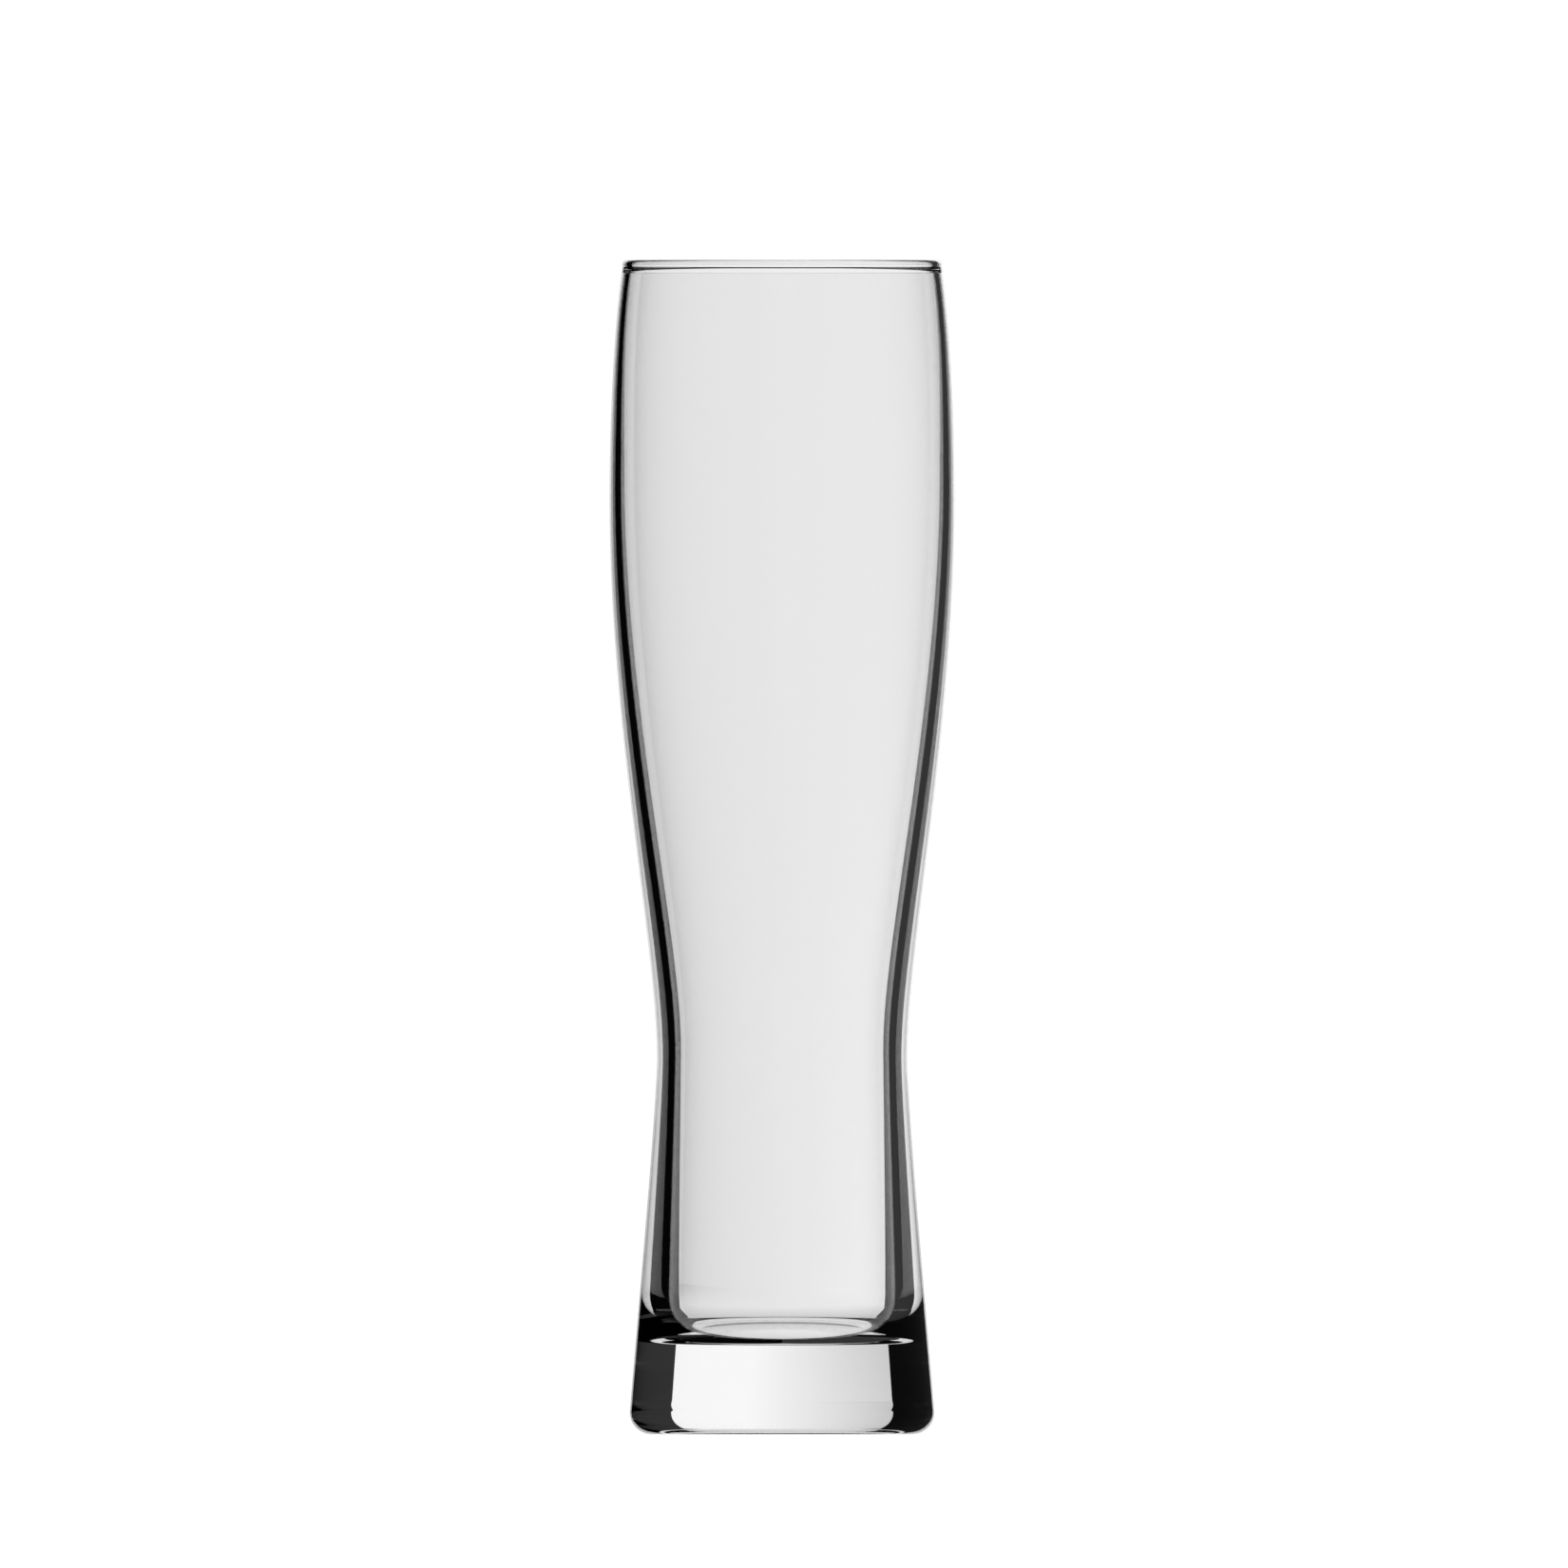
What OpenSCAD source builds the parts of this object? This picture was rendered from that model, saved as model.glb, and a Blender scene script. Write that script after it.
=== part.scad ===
// A tall beer glass for wheat beer, turned about the Z axis.
// Two pieces of glass, fused hot at a flat weld: a blown bowl and the solid foot it stands on.
// Z = 0 is the table, and the Z axis runs up the middle of the glass.

/* [Foot] */
// Largest diameter of the foot, just above its rounded lower corner
foot_d = 66.2; // [58:0.1:76]
// Radius of the foot's lower outer corner
foot_corner_r = 4.8; // [2:0.1:8]
// How far the foot's side leans in on its way up, in degrees
foot_lean = 4.8; // [0:0.1:8]
// Height of the solid foot, from the table to the weld
foot_h = 15; // [12:0.1:24]
// Width of the flat ring that the glass stands on
ring_w = 6; // [3:0.1:9]
// Depth of the shallow hollow inside that ring
hollow_h = 0.2; // [0.1:0.1:2]

/* [Bowl] */
// Outer diameter at the waist, the narrowest place
waist_d = 54.4; // [50:0.1:62]
// Height of the waist above the weld
waist_rise = 66.6; // [50:0.1:90]
// Outer diameter at the belly, the widest place
belly_d = 75; // [68:0.1:88]
// Height of the belly above the waist
flank_h = 121.2; // [90:0.1:150]
// Outer diameter at the rim
rim_d = 69.6; // [62:0.1:74]
// Height of the rim above the belly
mouth_h = 52.2; // [40:0.1:70]
// How far the wall leans in at the rim, in degrees
rim_lean = 8.6; // [2:0.1:12]

/* [Glass thickness] */
// Thickness of the wall just below the rim
rim_wall = 1.7; // [1.2:0.1:2.6]
// How far the rim's melted bead stands out past the wall on each side
bead_proud = 0.2; // [0:0.05:0.4]
// Thickness of the wall at the belly
belly_wall = 2.4; // [1.6:0.1:3.6]
// Thickness of the wall at the waist
waist_wall = 3.9; // [2.4:0.1:6]
// Thickness of the wall beside the inner floor
base_wall = 7.5; // [5:0.1:10]
// Thickness of the bowl's glass between its flat inner floor and the weld
floor_wall = 4; // [2:0.1:8]

/* [Inside] */
// Height of the rounded corner between the inner floor and the wall
floor_rise = 11.3; // [7:0.1:16]
// How far that corner reaches in from the wall
floor_corner_w = 4.6; // [3:0.1:12]
// How far the inner wall leans in above the corner, in degrees
well_lean = 1; // [0:0.1:4]
// How much higher the narrowest place lies inside than outside
inner_waist_lift = 1.7; // [0:0.1:8]
// How much higher the widest place lies inside than outside
inner_belly_lift = 3.4; // [0:0.1:8]

/* [Hidden] */

// Straight steps in each long curve of the outline, in each rounded edge, in the rim's bead
// and around the axis
curve_steps = 22;
edge_steps = 10;
bead_steps = 14;
$fn = 128;

// How far each curve holds its starting direction, as a share of the height it climbs
weld_share = 0.2;
waist_low_share = 0.14;
waist_high_share = 0.2;
belly_low_share = 0.41;
belly_high_share = 0.3;
rim_share = 0.25;

// How far the inner floor's corner holds upright at the wall and level at the floor,
// as shares of its height and its width
floor_side_share = 0.7;
floor_corner_share = 0.48;

// How far the hollow under the foot stays level from the middle, and how far it falls
// at its edge, as shares of its radius
hollow_level_share = 0.7;
hollow_edge_share = 0.15;

// Heights above the table
waist_z = foot_h + waist_rise;
belly_z = waist_z + flank_h;
rim_z = belly_z + mouth_h;
floor_z = foot_h + floor_wall;

// The foot's side is a straight cone from its lower corner up to the weld
corner_x = foot_d / 2 - foot_corner_r;
side_x = corner_x + foot_corner_r * cos(foot_lean);
side_z = foot_corner_r * (1 + sin(foot_lean));
weld_r = side_x - (foot_h - side_z) * tan(foot_lean);
hollow_r = corner_x - ring_w;

// The rim is a round bead on the leaning wall. The wall meets it on either side,
// as many degrees below the bead's middle as it takes for the wall's thickness to fit.
bead_r = rim_wall / 2 + bead_proud;
bead_at = [rim_d / 2 - bead_r, rim_z - bead_r];
bead_drop = acos(rim_wall / 2 / bead_r);
bead_start = rim_lean - bead_drop;
bead_end = rim_lean + 180 + bead_drop;

// Places on the outline, each as [radius, height]
weld_at = [weld_r, foot_h];
waist_at = [waist_d / 2, waist_z];
belly_at = [belly_d / 2, belly_z];
rim_out_at = bead_at + bead_r * [cos(bead_start), sin(bead_start)];
rim_in_at = bead_at + bead_r * [cos(bead_end), sin(bead_end)];
belly_in_at = [belly_d / 2 - belly_wall, belly_z + inner_belly_lift];
waist_in_at = [waist_d / 2 - waist_wall, waist_z + inner_waist_lift];
well_at = [weld_r - base_wall, floor_z + floor_rise];
floor_edge_at = [well_at[0] - floor_corner_w, floor_z];
floor_at = [0, floor_z];

// A direction that leans in by some degrees on the way up
function leaning(angle) = [-tan(angle), 1];

// A smooth curve from one place to another. Each handle says which way the curve
// sets out from its own end. The first place is left out, so curves can be joined.
function curve(from, from_handle, to, to_handle, steps) = [
    for (i = [1 : steps])
        let (t = i / steps, u = 1 - t)
            pow(u, 3) * from
            + 3 * u * u * t * (from + from_handle)
            + 3 * u * t * t * (to + to_handle)
            + pow(t, 3) * to
];

// A round edge about a centre, also without its first place
function arc(centre, radius, start, end, steps) = [
    for (i = [1 : steps])
        let (a = start + (end - start) * i / steps)
            centre + radius * [cos(a), sin(a)]
];

// The outside of the bowl, from the weld up to the rim
function outside() = concat(
    curve(
        weld_at, weld_share * waist_rise * leaning(foot_lean),
        waist_at, waist_low_share * waist_rise * [0, -1], curve_steps
    ),
    curve(
        waist_at, waist_high_share * flank_h * [0, 1],
        belly_at, belly_low_share * flank_h * [0, -1], curve_steps
    ),
    curve(
        belly_at, belly_high_share * mouth_h * [0, 1],
        rim_out_at, -rim_share * mouth_h * leaning(rim_lean), curve_steps
    )
);

// The inside of the bowl, from the rim down to the middle of its floor
function inside() = concat(
    curve(
        rim_in_at, -rim_share * mouth_h * leaning(rim_lean),
        belly_in_at, belly_high_share * mouth_h * [0, 1], curve_steps
    ),
    curve(
        belly_in_at, belly_low_share * flank_h * [0, -1],
        waist_in_at, waist_high_share * flank_h * [0, 1], curve_steps
    ),
    curve(
        waist_in_at, waist_low_share * waist_rise * [0, -1],
        well_at, weld_share * waist_rise * leaning(well_lean), curve_steps
    ),
    curve(
        well_at, -floor_side_share * floor_rise * leaning(well_lean),
        floor_edge_at, floor_corner_share * floor_corner_w * [1, 0], curve_steps
    ),
    [floor_at]
);

// The shallow hollow under the foot, from its middle out to the standing ring
function hollow() = concat(
    [[0, hollow_h]],
    curve(
        [0, hollow_h], hollow_level_share * hollow_r * [1, 0],
        [hollow_r, 0], [-hollow_edge_share * hollow_r, hollow_h], edge_steps
    )
);

module bowl() {
    color("aliceblue", 0.5)
    rotate_extrude()
    polygon(concat(
        [[0, foot_h], weld_at],
        outside(),
        arc(bead_at, bead_r, bead_start, bead_end, bead_steps),
        inside()
    ));
}

module foot() {
    color("lightsteelblue", 0.5)
    rotate_extrude()
    polygon(concat(
        hollow(),
        [[corner_x, 0]],
        arc([corner_x, foot_corner_r], foot_corner_r, -90, foot_lean, edge_steps),
        [weld_at, [0, foot_h]]
    ));
}

bowl();
foot();
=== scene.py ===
# %% [markdown]
# A tall wheat beer glass, round about one axis like a pot on a wheel. This script dresses the
# exact model of it: it loads that model as a fixed frame, makes the same two pieces of glass
# again with a much finer and smoother skin, and lights them the way clear glass is lit.
# Glass has almost no look of its own. What the eye reads as glass is the dark and the bright
# that its curves bend into view, so most of the work lies in the outline and in the studio.

# %% Load the frame
import math

import bmesh
import bpy
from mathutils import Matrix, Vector


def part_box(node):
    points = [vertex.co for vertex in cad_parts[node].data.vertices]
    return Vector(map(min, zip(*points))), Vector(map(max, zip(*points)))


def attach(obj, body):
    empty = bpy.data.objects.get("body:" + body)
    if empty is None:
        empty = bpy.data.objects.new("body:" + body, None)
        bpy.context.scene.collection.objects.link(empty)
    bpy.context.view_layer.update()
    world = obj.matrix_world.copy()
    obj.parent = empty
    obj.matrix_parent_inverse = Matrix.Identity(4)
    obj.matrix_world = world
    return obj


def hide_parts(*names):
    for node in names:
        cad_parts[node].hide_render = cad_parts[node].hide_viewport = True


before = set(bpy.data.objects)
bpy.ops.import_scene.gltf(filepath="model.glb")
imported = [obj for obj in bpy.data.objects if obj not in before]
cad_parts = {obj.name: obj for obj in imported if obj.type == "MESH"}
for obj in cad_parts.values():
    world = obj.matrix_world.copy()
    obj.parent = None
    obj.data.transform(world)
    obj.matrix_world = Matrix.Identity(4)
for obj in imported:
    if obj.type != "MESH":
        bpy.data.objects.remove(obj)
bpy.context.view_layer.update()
MM = 0.001
bowl_low, bowl_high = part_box("bowl")
foot_low, foot_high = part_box("foot")
print("Bowl from", round(bowl_low.z / MM, 2), "to", round(bowl_high.z / MM, 2), "mm high")
print("Foot", round((foot_high.x - foot_low.x) / MM, 2), "mm wide")

# %% [markdown]
# Small helpers come first. Real sizes are written in millimetres, colours as the sRGB hex value
# that a colour picker shows, and one function adds a shader or geometry node with its settings
# and its links, so that a whole tree reads as a short list.

# %% Helpers


def colour(hex_value):
    """A picked sRGB colour such as "F4F6F6" as the linear colour that the renderer works in."""
    parts = [int(hex_value[i : i + 2], 16) / 255 for i in (0, 2, 4)]
    linear = [p / 12.92 if p <= 0.04045 else ((p + 0.055) / 1.055) ** 2.4 for p in parts]
    return (*linear, 1)


def add(tree, kind, values=None, links=None, **settings):
    """Adds a node: settings are its own options, values fill its sockets and links feed them."""
    node = tree.nodes.new(kind)
    for name, setting in settings.items():
        setattr(node, name, setting)
    for name, value in (values or {}).items():
        node.inputs[name].default_value = value
    for name, source in (links or {}).items():
        tree.links.new(source, node.inputs[name])
    return node


def new_material(name):
    """An empty material, with its node tree and its output node."""
    made = bpy.data.materials.new(name)
    made.use_nodes = True
    made.node_tree.nodes.clear()
    return made, made.node_tree, made.node_tree.nodes.new("ShaderNodeOutputMaterial")


def put(name, data):
    """A new object in the scene, at the origin."""
    made = bpy.data.objects.new(name, data)
    bpy.context.scene.collection.objects.link(made)
    return made


print("A pale grey in linear light:", [round(c, 3) for c in colour("E8E8E8")])

# %% [markdown]
# The photograph is taken level with the glass, from so far away that nothing converges: the
# foot's lower edge and the rim are both straight lines. A camera without perspective gives
# that. Its scale follows from the glass itself, whose height is known in pixels and in metres.

# %% Camera
PHOTO_SIDE_PX = 1650
TOP_PX = 273.5
TABLE_PX = 1509.5
AXIS_PX = 823
CAMERA_DISTANCE = 7.0
CAMERA_REACH = 60

metres_per_px = bowl_high.z / (TABLE_PX - TOP_PX)
aim_x = (PHOTO_SIDE_PX / 2 - AXIS_PX) * metres_per_px
aim_z = (TABLE_PX - PHOTO_SIDE_PX / 2) * metres_per_px

camera_data = bpy.data.cameras.new("camera")
camera_data.type = "ORTHO"
camera_data.ortho_scale = PHOTO_SIDE_PX * metres_per_px
camera_data.clip_end = CAMERA_REACH
camera = put("camera", camera_data)
camera.location = (aim_x, -CAMERA_DISTANCE, aim_z)
camera.rotation_euler = (math.pi / 2, 0, 0)
bpy.context.scene.camera = camera
print("The frame is", round(camera_data.ortho_scale / MM, 1), "mm wide")

# %% [markdown]
# The outline is the real design of this glass: a heavy foot that leans in, a narrow waist for
# the hand, a belly for the aroma and a mouth that draws in again. The sizes below are in
# millimetres. Heights and the largest widths come from the frame. Each smooth stretch is one
# Bezier curve, because a curve with two handles has no bumps between its ends.

# %% Sizes of the glass
foot_r = foot_high.x / MM
weld_z = foot_high.z / MM
belly_r = bowl_high.x / MM
rim_z = bowl_high.z / MM

# The foot, with the ring that it stands on
FOOT_CORNER_R = 4.8
FOOT_LEAN = 4.8
RING_W = 6.0
HOLLOW_H = 0.2

# The outside of the bowl. Angles are in degrees
WAIST_R = 27.2
WAIST_Z = 81.6
BELLY_Z = 202.8
RIM_R = 34.8
RIM_LEAN = 8.6

# The thickness of the wall from the rim down
RIM_WALL = 1.7
BEAD_PROUD = 0.2
BELLY_WALL = 2.4
WAIST_WALL = 3.9
BASE_WALL = 7.5

# The inner floor with its rounded corner, and how much higher waist and belly lie inside
FLOOR_Z = 19.0
FLOOR_RISE = 11.3
FLOOR_CORNER_W = 4.6
WELL_LEAN = 1.0
INNER_WAIST_LIFT = 1.7
INNER_BELLY_LIFT = 3.4

# How far each curve holds its first direction, as a share of what it covers
WELD_SHARE = 0.2
WAIST_LOW_SHARE = 0.14
WAIST_HIGH_SHARE = 0.2
BELLY_LOW_SHARE = 0.41
BELLY_HIGH_SHARE = 0.3
RIM_SHARE = 0.25
FLOOR_SIDE_SHARE = 0.7
FLOOR_CORNER_SHARE = 0.48
HOLLOW_FLAT_SHARE = 0.7
HOLLOW_EDGE_SHARE = 0.15

print("Waist", 2 * WAIST_R, "mm, belly", round(2 * belly_r, 1), "mm, rim", 2 * RIM_R, "mm")

# %% [markdown]
# An outline is a list of places, each kept with the handle behind it and the handle ahead of
# it, exactly as Blender's own Bezier points are. Three little functions add the three things
# that an outline is made of here: a free curve, a straight stretch and a round arc.

# %% Drawing an outline


def leaning(degrees):
    """A direction in the outline that leans in by some degrees on its way up."""
    return Vector((-math.tan(math.radians(degrees)), 1))


def at_angle(degrees):
    """A step of length one in the outline, at an angle above level."""
    return Vector((math.cos(math.radians(degrees)), math.sin(math.radians(degrees))))


def curve_to(outline, ahead, place, behind):
    """Sets out along one handle and arrives at a place along the other."""
    outline[-1][2] = outline[-1][1] + ahead
    outline.append([place + behind, place, place])


def line_to(outline, place):
    """Goes straight on to a place."""
    third = (place - outline[-1][1]) / 3
    curve_to(outline, third, place, -third)


def arc_to(outline, centre, radius, first, last, parts):
    """Goes round a centre from one angle to another, in a few short curves."""
    turn = (last - first) / parts
    reach = 4 / 3 * math.tan(math.radians(turn / 4)) * radius
    for i in range(parts):
        a, b = first + turn * i, first + turn * (i + 1)
        place = centre + radius * at_angle(b)
        curve_to(outline, reach * at_angle(a + 90), place, -reach * at_angle(b + 90))


def draw(name, outline):
    """Stands an outline up as a Bezier curve, with x as the radius and z as the height."""
    data = bpy.data.curves.new(name, "CURVE")
    data.dimensions = "3D"
    spline = data.splines.new("BEZIER")
    spline.bezier_points.add(len(outline) - 1)
    for point, places in zip(spline.bezier_points, outline):
        behind, place, ahead = [Vector((p.x, 0, p.y)) * MM for p in places]
        point.handle_left_type = point.handle_right_type = "FREE"
        point.handle_left, point.co, point.handle_right = behind, place, ahead
    print(name, "has", len(outline), "places on its outline")
    return put(name, data)


print("The foot's side leans in", round(-leaning(FOOT_LEAN).x, 3), "mm for each mm that it climbs")

# %% [markdown]
# A lathe in Geometry Nodes. The upright outline is laid flat and moved in by the radius of a
# circle, and then swept round that circle, which stands it up again and puts its points on the
# axis exactly in the middle. Merging doubled points closes both poles. The flat face where the
# two pieces are fused gets a material of its own.

# %% The lathe


def make_lathe():
    """The node tree that turns an outline into a closed piece of glass."""
    tree = bpy.data.node_groups.new("turned glass", "GeometryNodeTree")
    tree.interface.new_socket(name="Turned", in_out="OUTPUT", socket_type="NodeSocketGeometry")
    for name, kind in (
        ("Outline", "Geometry"),
        ("Steps around", "Int"),
        ("Steps along", "Int"),
        ("Turning radius", "Float"),
        ("Merge distance", "Float"),
        ("Weld height", "Float"),
        ("Weld slack", "Float"),
        ("Glass", "Material"),
        ("Weld", "Material"),
    ):
        tree.interface.new_socket(name=name, in_out="INPUT", socket_type="NodeSocket" + kind)
    given = tree.nodes.new("NodeGroupInput").outputs

    fine = add(
        tree,
        "GeometryNodeSetSplineResolution",
        links={"Geometry": given["Outline"], "Resolution": given["Steps along"]},
    )
    inward = add(
        tree, "ShaderNodeMath", {1: -1}, {0: given["Turning radius"]}, operation="MULTIPLY"
    )
    offset = add(tree, "ShaderNodeCombineXYZ", links={"X": inward.outputs[0]})
    flat = add(
        tree,
        "GeometryNodeTransform",
        {"Rotation": (math.pi / 2, 0, 0)},
        {"Geometry": fine.outputs[0], "Translation": offset.outputs[0]},
    )
    circle = add(
        tree,
        "GeometryNodeCurvePrimitiveCircle",
        links={"Resolution": given["Steps around"], "Radius": given["Turning radius"]},
    )
    swept = add(
        tree,
        "GeometryNodeCurveToMesh",
        links={"Curve": circle.outputs[0], "Profile Curve": flat.outputs[0]},
    )
    merged = add(
        tree,
        "GeometryNodeMergeByDistance",
        links={"Geometry": swept.outputs[0], "Distance": given["Merge distance"]},
    )
    smooth = add(
        tree, "GeometryNodeSetShadeSmooth", {"Shade Smooth": True}, {"Geometry": merged.outputs[0]}
    )
    glass = add(
        tree,
        "GeometryNodeSetMaterial",
        links={"Geometry": smooth.outputs[0], "Material": given["Glass"]},
    )
    where = add(tree, "GeometryNodeInputPosition")
    height = add(tree, "ShaderNodeSeparateXYZ", links={0: where.outputs[0]})
    on_weld = add(
        tree,
        "FunctionNodeCompare",
        links={"A": height.outputs["Z"], "B": given["Weld height"], "Epsilon": given["Weld slack"]},
        data_type="FLOAT",
        operation="EQUAL",
    )
    fused = add(
        tree,
        "GeometryNodeSetMaterial",
        links={
            "Geometry": glass.outputs[0],
            "Selection": on_weld.outputs[0],
            "Material": given["Weld"],
        },
    )
    real = add(tree, "GeometryNodeRealizeInstances", links={"Geometry": fused.outputs[0]})
    add(tree, "NodeGroupOutput", links={"Turned": real.outputs[0]})
    return tree


lathe = make_lathe()
print("The lathe has", len(lathe.nodes), "nodes")

# %% [markdown]
# The lathe is put to work as a modifier on the outline's curve. Its result is then taken as a
# plain mesh, which is what a game or a printer can use, and the curve is thrown away. A mesh
# can come out of a lathe inside out, so its faces are turned outwards, and its open edges are
# counted: a skin of glass that isn't closed has no inside, and light goes through it wrongly.

# %% Turning a piece
TURNING_R = 50 * MM
STEPS_AROUND = 256
STEPS_ALONG = 30
MERGE_DISTANCE = 0.001 * MM
WELD_SLACK = 0.01 * MM
EDGE_ANGLE = math.radians(60)


def set_inputs(modifier, values):
    """Sets a modifier's inputs, which go by their sockets' identifiers and not their names."""
    for item in modifier.node_group.interface.items_tree:
        if item.item_type == "SOCKET" and item.name in values:
            modifier[item.identifier] = values[item.name]


def close_and_measure(mesh):
    """Turns every face outwards, and gives the open edges and the volume in millilitres."""
    work = bmesh.new()
    work.from_mesh(mesh)
    bmesh.ops.recalc_face_normals(work, faces=work.faces)
    volume = work.calc_volume(signed=True)
    open_edges = sum(1 for edge in work.edges if not edge.is_manifold)
    work.to_mesh(mesh)
    work.free()
    return open_edges, volume / MM**3 / 1000


def turn(name, outline, glass):
    """Makes a piece of glass from its outline, as a plain closed mesh."""
    host = draw(name + "_outline", outline)
    modifier = host.modifiers.new("lathe", "NODES")
    modifier.node_group = lathe
    set_inputs(
        modifier,
        {
            "Steps around": STEPS_AROUND,
            "Steps along": STEPS_ALONG,
            "Turning radius": TURNING_R,
            "Merge distance": MERGE_DISTANCE,
            "Weld height": weld_z * MM,
            "Weld slack": WELD_SLACK,
            "Glass": glass,
            "Weld": weld_material,
        },
    )
    graph = bpy.context.evaluated_depsgraph_get()
    mesh = bpy.data.meshes.new_from_object(host.evaluated_get(graph))
    bpy.data.objects.remove(host)
    open_edges, millilitres = close_and_measure(mesh)
    mesh.set_sharp_from_angle(angle=EDGE_ANGLE)
    mesh.name = name
    triangles = sum(len(face.vertices) - 2 for face in mesh.polygons)
    print(name, "has", triangles, "triangles,", open_edges, "open edges and", end=" ")
    print(round(millilitres, 1), "ml of glass")
    return put(name, mesh)


print("Each piece is turned in", STEPS_AROUND, "steps")

# %% [markdown]
# The glass is soda-lime glass, the common clear kind. It bends light by an index of about 1.52
# and is colourless through a few millimetres. The bowl is blown in a mould and fire polished,
# and the foot is pressed. Both ways leave a skin that is glossy but never quite true: it has
# waves of two or three centimetres, only a few thousandths of a millimetre high, and they make
# the contours waver a little. The weld between the pieces shows nothing at all, because both
# sides of it are the same glass.

# %% Materials of the glass
GLASS_IOR = 1.52
CLEAR = "FFFFFF"
BLOWN_WAVE_MM = 26
PRESSED_WAVE_MM = 18
WAVE_HEIGHT_MM = 0.004


def glass_material(name, wave_mm):
    """Clear glass with faint long waves in its skin, as moulding and flame leave it."""
    made, tree, output = new_material(name)
    place = add(tree, "ShaderNodeTexCoord")
    waves = add(
        tree,
        "ShaderNodeTexNoise",
        {"Scale": 1 / (wave_mm * MM), "Detail": 1.0, "Roughness": 0.4},
        {"Vector": place.outputs["Object"]},
    )
    bump = add(
        tree,
        "ShaderNodeBump",
        {"Strength": 1.0, "Distance": WAVE_HEIGHT_MM * MM},
        {"Height": waves.outputs[0]},
    )
    skin = add(
        tree,
        "ShaderNodeBsdfPrincipled",
        {
            "Base Color": colour(CLEAR),
            "Roughness": 0.0,
            "IOR": GLASS_IOR,
            "Transmission Weight": 1.0,
        },
        {"Normal": bump.outputs[0]},
    )
    tree.links.new(skin.outputs[0], output.inputs["Surface"])
    return made


def weld_glass():
    """The fused face inside the glass: light passes it as if nothing were there."""
    made, tree, output = new_material("fused weld in soda-lime glass")
    skin = add(tree, "ShaderNodeBsdfPrincipled", {"Alpha": 0.0, "IOR": GLASS_IOR})
    tree.links.new(skin.outputs[0], output.inputs["Surface"])
    return made


blown_glass = glass_material("blown soda-lime glass", BLOWN_WAVE_MM)
pressed_glass = glass_material("pressed soda-lime glass", PRESSED_WAVE_MM)
weld_material = weld_glass()
print("Made", len(bpy.data.materials), "materials so far")

# %% [markdown]
# The foot is a thick disc of solid glass, pressed on while hot. It carries the glass on a flat
# ring, with a shallow hollow inside so that it stands firm on a table that isn't quite flat.
# Its rounded lower corner is what keeps it from chipping. It could be a bevelled cylinder, but
# one outline with true arcs keeps the corner round enough to bend light cleanly.

# %% The foot
CORNER_ARCS = 2

corner_x = foot_r - FOOT_CORNER_R
hollow_r = corner_x - RING_W
corner_centre = Vector((corner_x, FOOT_CORNER_R))
side_at = corner_centre + FOOT_CORNER_R * at_angle(FOOT_LEAN)
weld_at = side_at + (weld_z - side_at.y) * leaning(FOOT_LEAN)
weld_middle = Vector((0, weld_z))

foot_outline = [[Vector((0, HOLLOW_H))] * 3]
curve_to(
    foot_outline,
    Vector((HOLLOW_FLAT_SHARE * hollow_r, 0)),
    Vector((hollow_r, 0)),
    Vector((-HOLLOW_EDGE_SHARE * hollow_r, HOLLOW_H)),
)
line_to(foot_outline, Vector((corner_x, 0)))
arc_to(foot_outline, corner_centre, FOOT_CORNER_R, -90, FOOT_LEAN, CORNER_ARCS)
line_to(foot_outline, weld_at)
line_to(foot_outline, weld_middle)
foot = turn("pressed_foot", foot_outline, pressed_glass)

# %% [markdown]
# The bowl is blown. Its wall is thick where the glass was slow to move, beside the floor, and
# thin at the belly. At the rim the cut edge was melted until it drew itself into a round bead,
# a little thicker than the wall below it. Outside and inside are separate curves, so the wall
# thins out along its height as it does in a real glass. The inner floor is flat, and a tight
# round corner takes it up into the wall.

# %% The bowl
BEAD_ARCS = 3

waist_at = Vector((WAIST_R, WAIST_Z))
belly_at = Vector((belly_r, BELLY_Z))
waist_in_at = waist_at + Vector((-WAIST_WALL, INNER_WAIST_LIFT))
belly_in_at = belly_at + Vector((-BELLY_WALL, INNER_BELLY_LIFT))
well_at = Vector((weld_at.x - BASE_WALL, FLOOR_Z + FLOOR_RISE))
floor_at = Vector((0, FLOOR_Z))
floor_edge_at = Vector((well_at.x - FLOOR_CORNER_W, FLOOR_Z))
up = Vector((0, 1))
level = Vector((1, 0))

lower_rise = WAIST_Z - weld_z
flank_rise = BELLY_Z - WAIST_Z
mouth_rise = rim_z - BELLY_Z

bead_r = RIM_WALL / 2 + BEAD_PROUD
bead_centre = Vector((RIM_R - bead_r, rim_z - bead_r))
bead_drop = math.degrees(math.acos(RIM_WALL / 2 / bead_r))
bead_start = RIM_LEAN - bead_drop
bead_end = RIM_LEAN + 180 + bead_drop
rim_out_at = bead_centre + bead_r * at_angle(bead_start)
rim_in_at = bead_centre + bead_r * at_angle(bead_end)
rim_reach = RIM_SHARE * mouth_rise * leaning(RIM_LEAN)
belly_high = BELLY_HIGH_SHARE * mouth_rise * up
belly_low = BELLY_LOW_SHARE * flank_rise * up
waist_high = WAIST_HIGH_SHARE * flank_rise * up
waist_low = WAIST_LOW_SHARE * lower_rise * up

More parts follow.
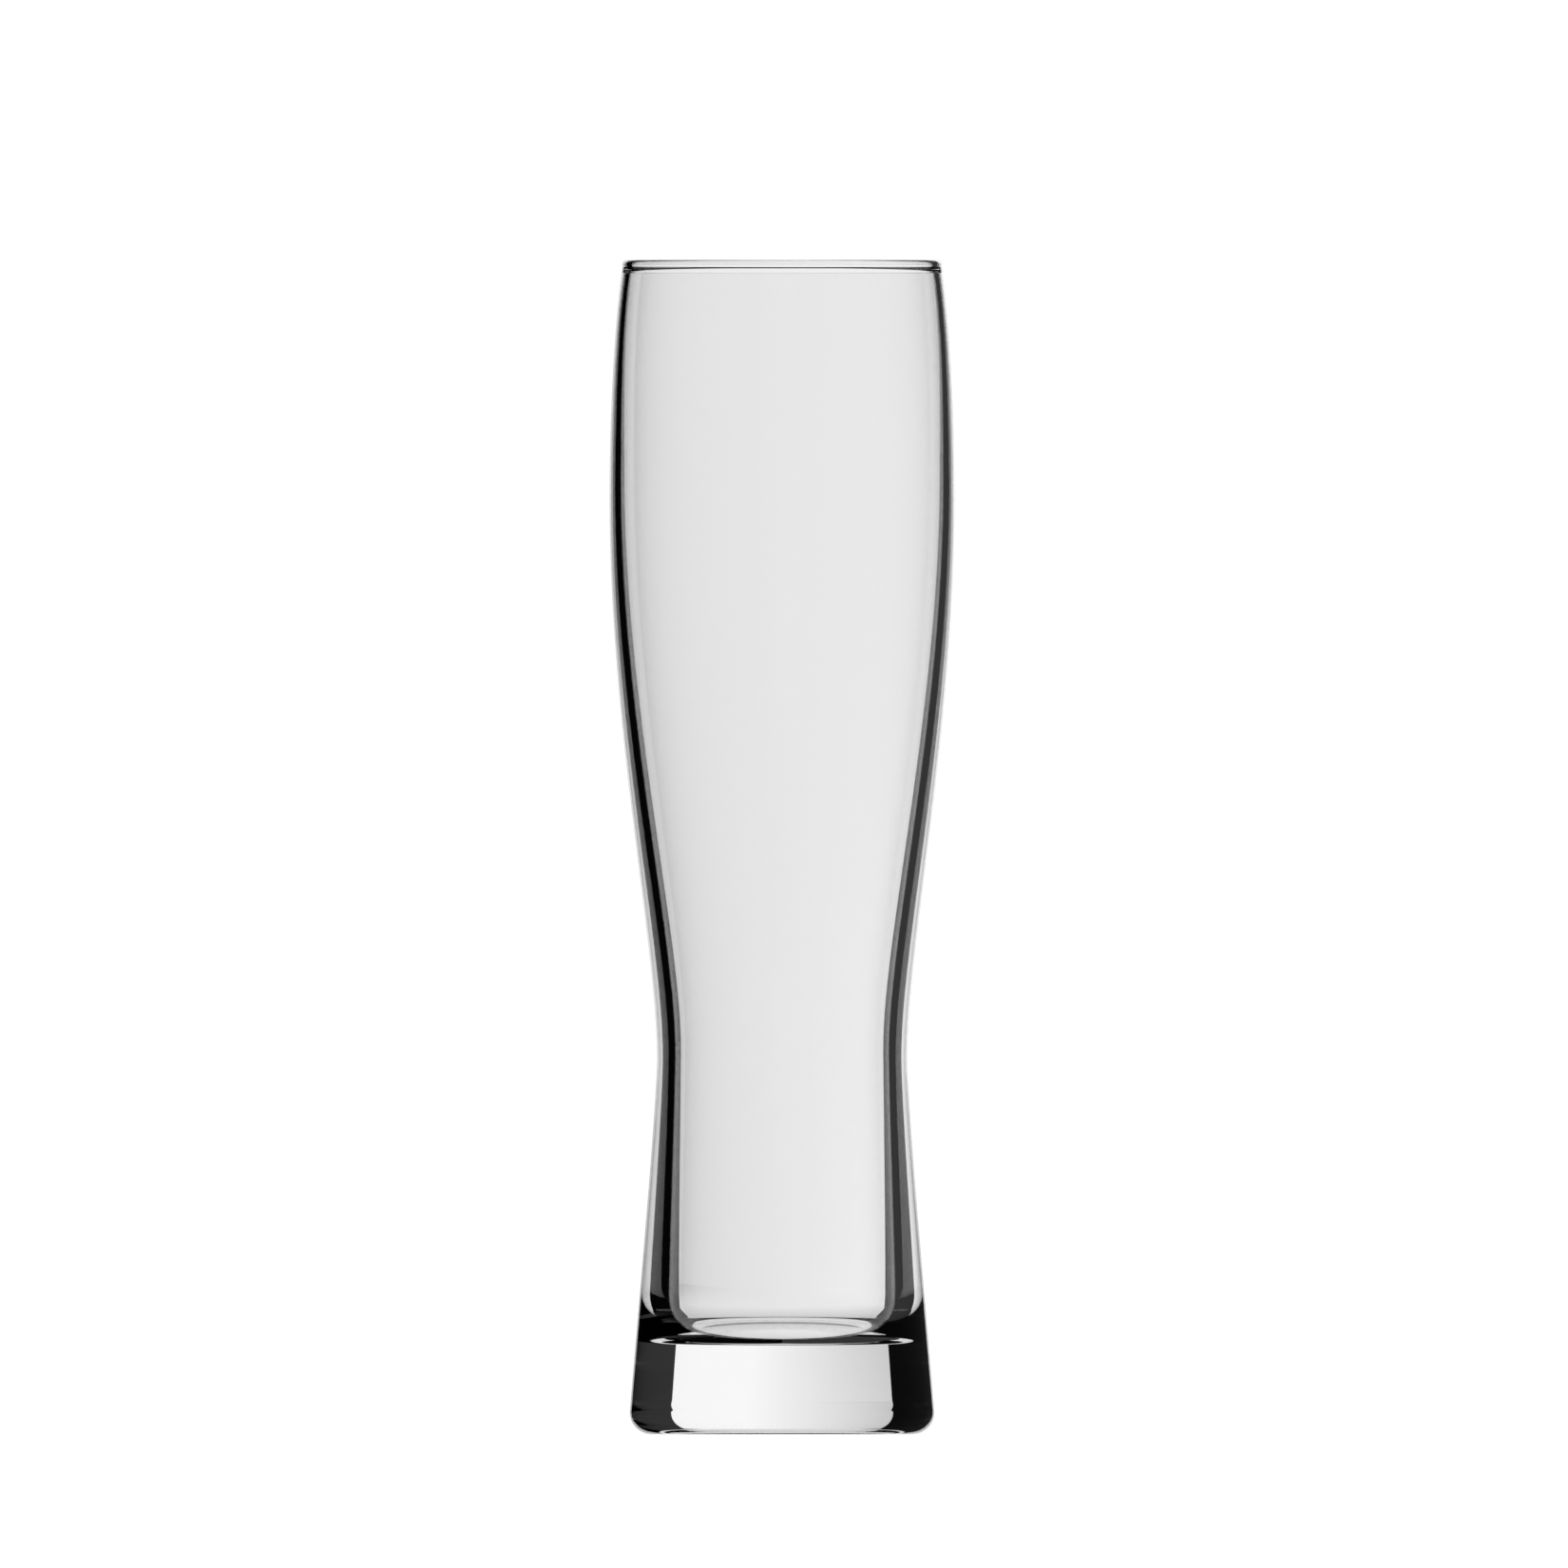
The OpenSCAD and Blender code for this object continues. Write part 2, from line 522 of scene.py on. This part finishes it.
bowl_outline = [[weld_middle] * 3]
line_to(bowl_outline, weld_at)
curve_to(bowl_outline, WELD_SHARE * lower_rise * leaning(FOOT_LEAN), waist_at, -waist_low)
curve_to(bowl_outline, waist_high, belly_at, -belly_low)
curve_to(bowl_outline, belly_high, rim_out_at, -rim_reach)
arc_to(bowl_outline, bead_centre, bead_r, bead_start, bead_end, BEAD_ARCS)
curve_to(bowl_outline, -rim_reach, belly_in_at, belly_high)
curve_to(bowl_outline, -belly_low, waist_in_at, waist_high)
curve_to(bowl_outline, -waist_low, well_at, WELD_SHARE * lower_rise * leaning(WELL_LEAN))
curve_to(
    bowl_outline,
    -FLOOR_SIDE_SHARE * FLOOR_RISE * leaning(WELL_LEAN),
    floor_edge_at,
    FLOOR_CORNER_SHARE * FLOOR_CORNER_W * level,
)
line_to(bowl_outline, floor_at)
bowl = turn("blown_bowl", bowl_outline, blown_glass)

# %% [markdown]
# The fine pieces now stand for the exact ones, which are hidden. They ride on the same body,
# because nothing on a glass moves. The exact pieces stay in the model for its weight and for
# what it collides with.

# %% Take the places of the exact pieces
for piece, node, slot in ((bowl, "bowl", "bowl_glass"), (foot, "foot", "foot_glass")):
    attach(piece, "root")
    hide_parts(node)
    print(piece.name, "stands for", node)

# %% [markdown]
# Clear glass on white is lit with a bright field: the glass stands in front of a bright window,
# and dark flags stand on both sides of it. Straight through the glass the eye sees the window.
# Near its edges the glass bends the view sideways until it meets the flags, and that draws
# every contour as a dark line. The floor and the white sky are for the camera and for the soft
# light on the floor. The glass itself looks past them, at the window and the flags alone.
# The floor is a sheet of white studio paper. It is matt, so it shows no reflection of the glass.

# %% Floor and sky
FLOOR_SIDE = 30.0
SKY_STRENGTH = 1.05
PAPER_WHITE = "FBFBFB"
SKY_WHITE = "FFFFFF"


def flat_mesh(name, corners, faces, material):
    """A plain mesh of flat faces with one material."""
    data = bpy.data.meshes.new(name)
    data.from_pydata(corners, [], faces)
    data.materials.append(material)
    return put(name, data)


def hide_from_glass(thing):
    """Leaves a thing out of what is seen through the glass and reflected in it."""
    thing.visible_transmission = thing.visible_glossy = False


paper, paper_tree, paper_output = new_material("white studio paper")
paper_skin = add(paper_tree, "ShaderNodeBsdfDiffuse", {"Color": colour(PAPER_WHITE)})
paper_tree.links.new(paper_skin.outputs[0], paper_output.inputs["Surface"])
half = FLOOR_SIDE / 2
floor_corners = [(-half, -half, 0), (half, -half, 0), (half, half, 0), (-half, half, 0)]
floor = flat_mesh("floor", floor_corners, [(0, 1, 2, 3)], paper)
hide_from_glass(floor)

world = bpy.data.worlds.new("white studio")
world.use_nodes = True
sky = world.node_tree.nodes["Background"]
sky.inputs["Color"].default_value = colour(SKY_WHITE)
sky.inputs["Strength"].default_value = SKY_STRENGTH
bpy.context.scene.world = world
world.cycles_visibility.transmission = world.cycles_visibility.glossy = False
print("The floor is", FLOOR_SIDE, "m square")

# %% [markdown]
# The window and the flags hang on one stand. It turns with the camera's heading and stays
# level, which is what a photographer gets by turning the glass and not the studio: from every
# side the window is behind the glass and the flags are beside it. A constraint does that, so
# the stand needs no numbers of its own. The panels are plain sheets and curved walls.

# %% The stand
WALL_STEPS = 32

stand = put("studio_stand", None)
follow = stand.constraints.new("COPY_ROTATION")
follow.target = camera
follow.use_x = follow.use_y = False


def hang(panel):
    """Hangs a panel on the stand. It shows only in the glass, and neither lights nor shades."""
    panel.visible_camera = panel.visible_diffuse = panel.visible_shadow = False
    panel.parent = stand


def wall(name, radius, first, last, low, high, material):
    """A curved wall round the glass, between two headings from straight behind it."""
    corners, faces = [], []
    for i in range(WALL_STEPS + 1):
        a = math.radians(first + (last - first) * i / WALL_STEPS)
        x, y = radius * math.sin(a), radius * math.cos(a)
        corners += [(x, y, low), (x, y, high)]
    for i in range(WALL_STEPS):
        faces.append((2 * i, 2 * i + 1, 2 * i + 3, 2 * i + 2))
    hang(flat_mesh(name, corners, faces, material))


def sheet(name, corners, height, material):
    """A level sheet above or below the glass."""
    places = [(x, y, height) for x, y in corners]
    hang(flat_mesh(name, places, [tuple(range(len(places)))], material))


print("The stand turns with the", follow.target.name)

# %% [markdown]
# The window is white opal acrylic with a lamp behind it, a little to the right, so it is
# brightest there and fades evenly to the left. White paper lies below, under the gap between
# two boards. It is no lamp: its glow is painted light with the window's fade, and a painted shade
# makes it darker close under the glass.
# Each fade is one Map Range node on Object coordinates in metres, and two are multiplied.
# The leaning foot bends the view down until it meets that paper at about two thirds of the
# way to the window. So the paper's painted light fades across two thirds of the width, and no step
# shows.
# The left flag is black velvet, which sends back almost nothing, and the right one is dark
# grey felt, which sends back a little. That little is painted light: both glow by it, so they need
# no lamp.

# %% Materials of the studio
FADED_X, BRIGHT_X = -0.705, 0.18
FADED, BRIGHT = 0.60, 1.02
# Painted shade on the paper below: its glow falls to SHADED close under the glass.
SHADED_Y, OPEN_Y = -0.05, 0.3
SHADED, OPEN = 0.64, 1.0
PAPER_SHARE = 0.66
VELVET_PAINTED_LIGHT = 0.0015
FELT_PAINTED_LIGHT = 0.034


def even_glow(name, level):
    """A material that glows the same all over: painted light for a cloth that is no lamp."""
    made, tree, output = new_material(name)
    glow = add(tree, "ShaderNodeEmission", {"Strength": level})
    tree.links.new(glow.outputs[0], output.inputs["Surface"])
    return made


def fading_glow(name, fades):
    """A material whose glow fades. Each fade gives an axis, the two places on it between which
    the level changes, and the two levels. More than one fade is multiplied together."""
    made, tree, output = new_material(name)
    place = add(tree, "ShaderNodeTexCoord")
    split = add(tree, "ShaderNodeSeparateXYZ", links={0: place.outputs["Object"]})
    level = None
    for axis, start, end, first, last in fades:
        ends = {"From Min": start, "From Max": end, "To Min": first, "To Max": last}
        fade = add(tree, "ShaderNodeMapRange", ends, {"Value": split.outputs[axis]})
        if level is None:
            level = fade
        else:
            both = {0: level.outputs[0], 1: fade.outputs[0]}
            level = add(tree, "ShaderNodeMath", links=both, operation="MULTIPLY")
    glow = add(tree, "ShaderNodeEmission", links={"Strength": level.outputs[0]})
    tree.links.new(glow.outputs[0], output.inputs["Surface"])
    return made


across = ("X", FADED_X, BRIGHT_X, FADED, BRIGHT)
# The paper below glows with painted light that copies the window's fade, times a painted shade
# close under the glass.
painted_light_across = ("X", FADED_X * PAPER_SHARE, BRIGHT_X * PAPER_SHARE, FADED, BRIGHT)
painted_shade_away = ("Y", SHADED_Y, OPEN_Y, SHADED, OPEN)
opal = fading_glow("opal acrylic, lit from behind", [across])
paper_painted_glow = fading_glow("white studio paper, painted light and shade", [painted_light_across, painted_shade_away])
# Painted light: the flags, boards and roofs glow by what their cloth would send back.
velvet = even_glow("black velvet", VELVET_PAINTED_LIGHT)
felt = even_glow("dark grey felt", FELT_PAINTED_LIGHT)
print("The window fades from", BRIGHT, "to", FADED, "across", BRIGHT_X - FADED_X, "m")

# %% [markdown]
# The window stands well back and the flags stand close. The gap between the flags decides how
# wide the dark contours are: one begins where the glass bends the view past a flag's edge.
# Two boards of the same cloths lie under the glass and leave a wedge open behind it, from its
# middle to the feet of the flags. The paper shows through the wedge, and the floor of the bowl
# bends it into the thin white crescent above the foot. Two roofs of the same cloths close the
# studio above, so that nothing bright falls in from there. Places and sizes are in metres.

# %% The window, the flags and the boards
WINDOW_R = 1.2
WINDOW_HALF_DEG = 48.0
WINDOW_LOW, WINDOW_HIGH = -0.6, 0.7
FLAG_R = 0.17
FLAG_EDGE_DEG = 28.1
FLAG_LOW, FLAG_HIGH = -0.5, 0.8
BOARD_Z = -0.032
PAPER_Z = -0.06
WEDGE_Y = 0.016

wall("window", WINDOW_R, -WINDOW_HALF_DEG, WINDOW_HALF_DEG, WINDOW_LOW, WINDOW_HIGH, opal)
wall("left_flag", FLAG_R, -180, -FLAG_EDGE_DEG, FLAG_LOW, FLAG_HIGH, velvet)
wall("right_flag", FLAG_R, FLAG_EDGE_DEG, 180, FLAG_LOW, FLAG_HIGH, felt)

flag_x = FLAG_R * math.sin(math.radians(FLAG_EDGE_DEG))
flag_y = FLAG_R * math.cos(math.radians(FLAG_EDGE_DEG))
for word, side, cloth in (("left", -WINDOW_R, velvet), ("right", WINDOW_R, felt)):
    roof = [(0, -WINDOW_R), (side, -WINDOW_R), (side, WINDOW_R), (0, WINDOW_R)]
    sheet(word + "_roof", roof, FLAG_HIGH, cloth)
    out_x, foot_x = math.copysign(FLAG_R, side), math.copysign(flag_x, side)
    board = [(0, -FLAG_R), (out_x, -FLAG_R), (out_x, flag_y), (foot_x, flag_y), (0, WEDGE_Y)]
    sheet(word + "_board", board, BOARD_Z, cloth)
near, far = -FLAG_R, WINDOW_R
below = [(-WINDOW_R, near), (WINDOW_R, near), (WINDOW_R, far), (-WINDOW_R, far)]
sheet("paper_below", below, PAPER_Z, paper_painted_glow)
print("The opening between the flags is", 2 * FLAG_EDGE_DEG, "degrees wide")

# %% [markdown]
# The picture is shown as it is lit, with white as white, because a product on a white ground
# has to keep its tones. Light must also be followed through many faces of glass: each wall of
# the bowl is two, and a look through the floor can cross ten.
# Light that has been thrown back and forth inside a wall more than three times is let go. It
# would only lay a grey veil over the dark contours, and they are what the glass is drawn with.

# %% How the light is followed
LIGHT_STEPS = 24
REFLECTIONS = 3

scene = bpy.context.scene
scene.view_settings.view_transform = "Standard"
scene.cycles.max_bounces = LIGHT_STEPS
scene.cycles.transmission_bounces = LIGHT_STEPS
scene.cycles.glossy_bounces = REFLECTIONS
scene.cycles.transparent_max_bounces = LIGHT_STEPS
print("Light is followed for", LIGHT_STEPS, "steps, of which", REFLECTIONS, "may be reflections")
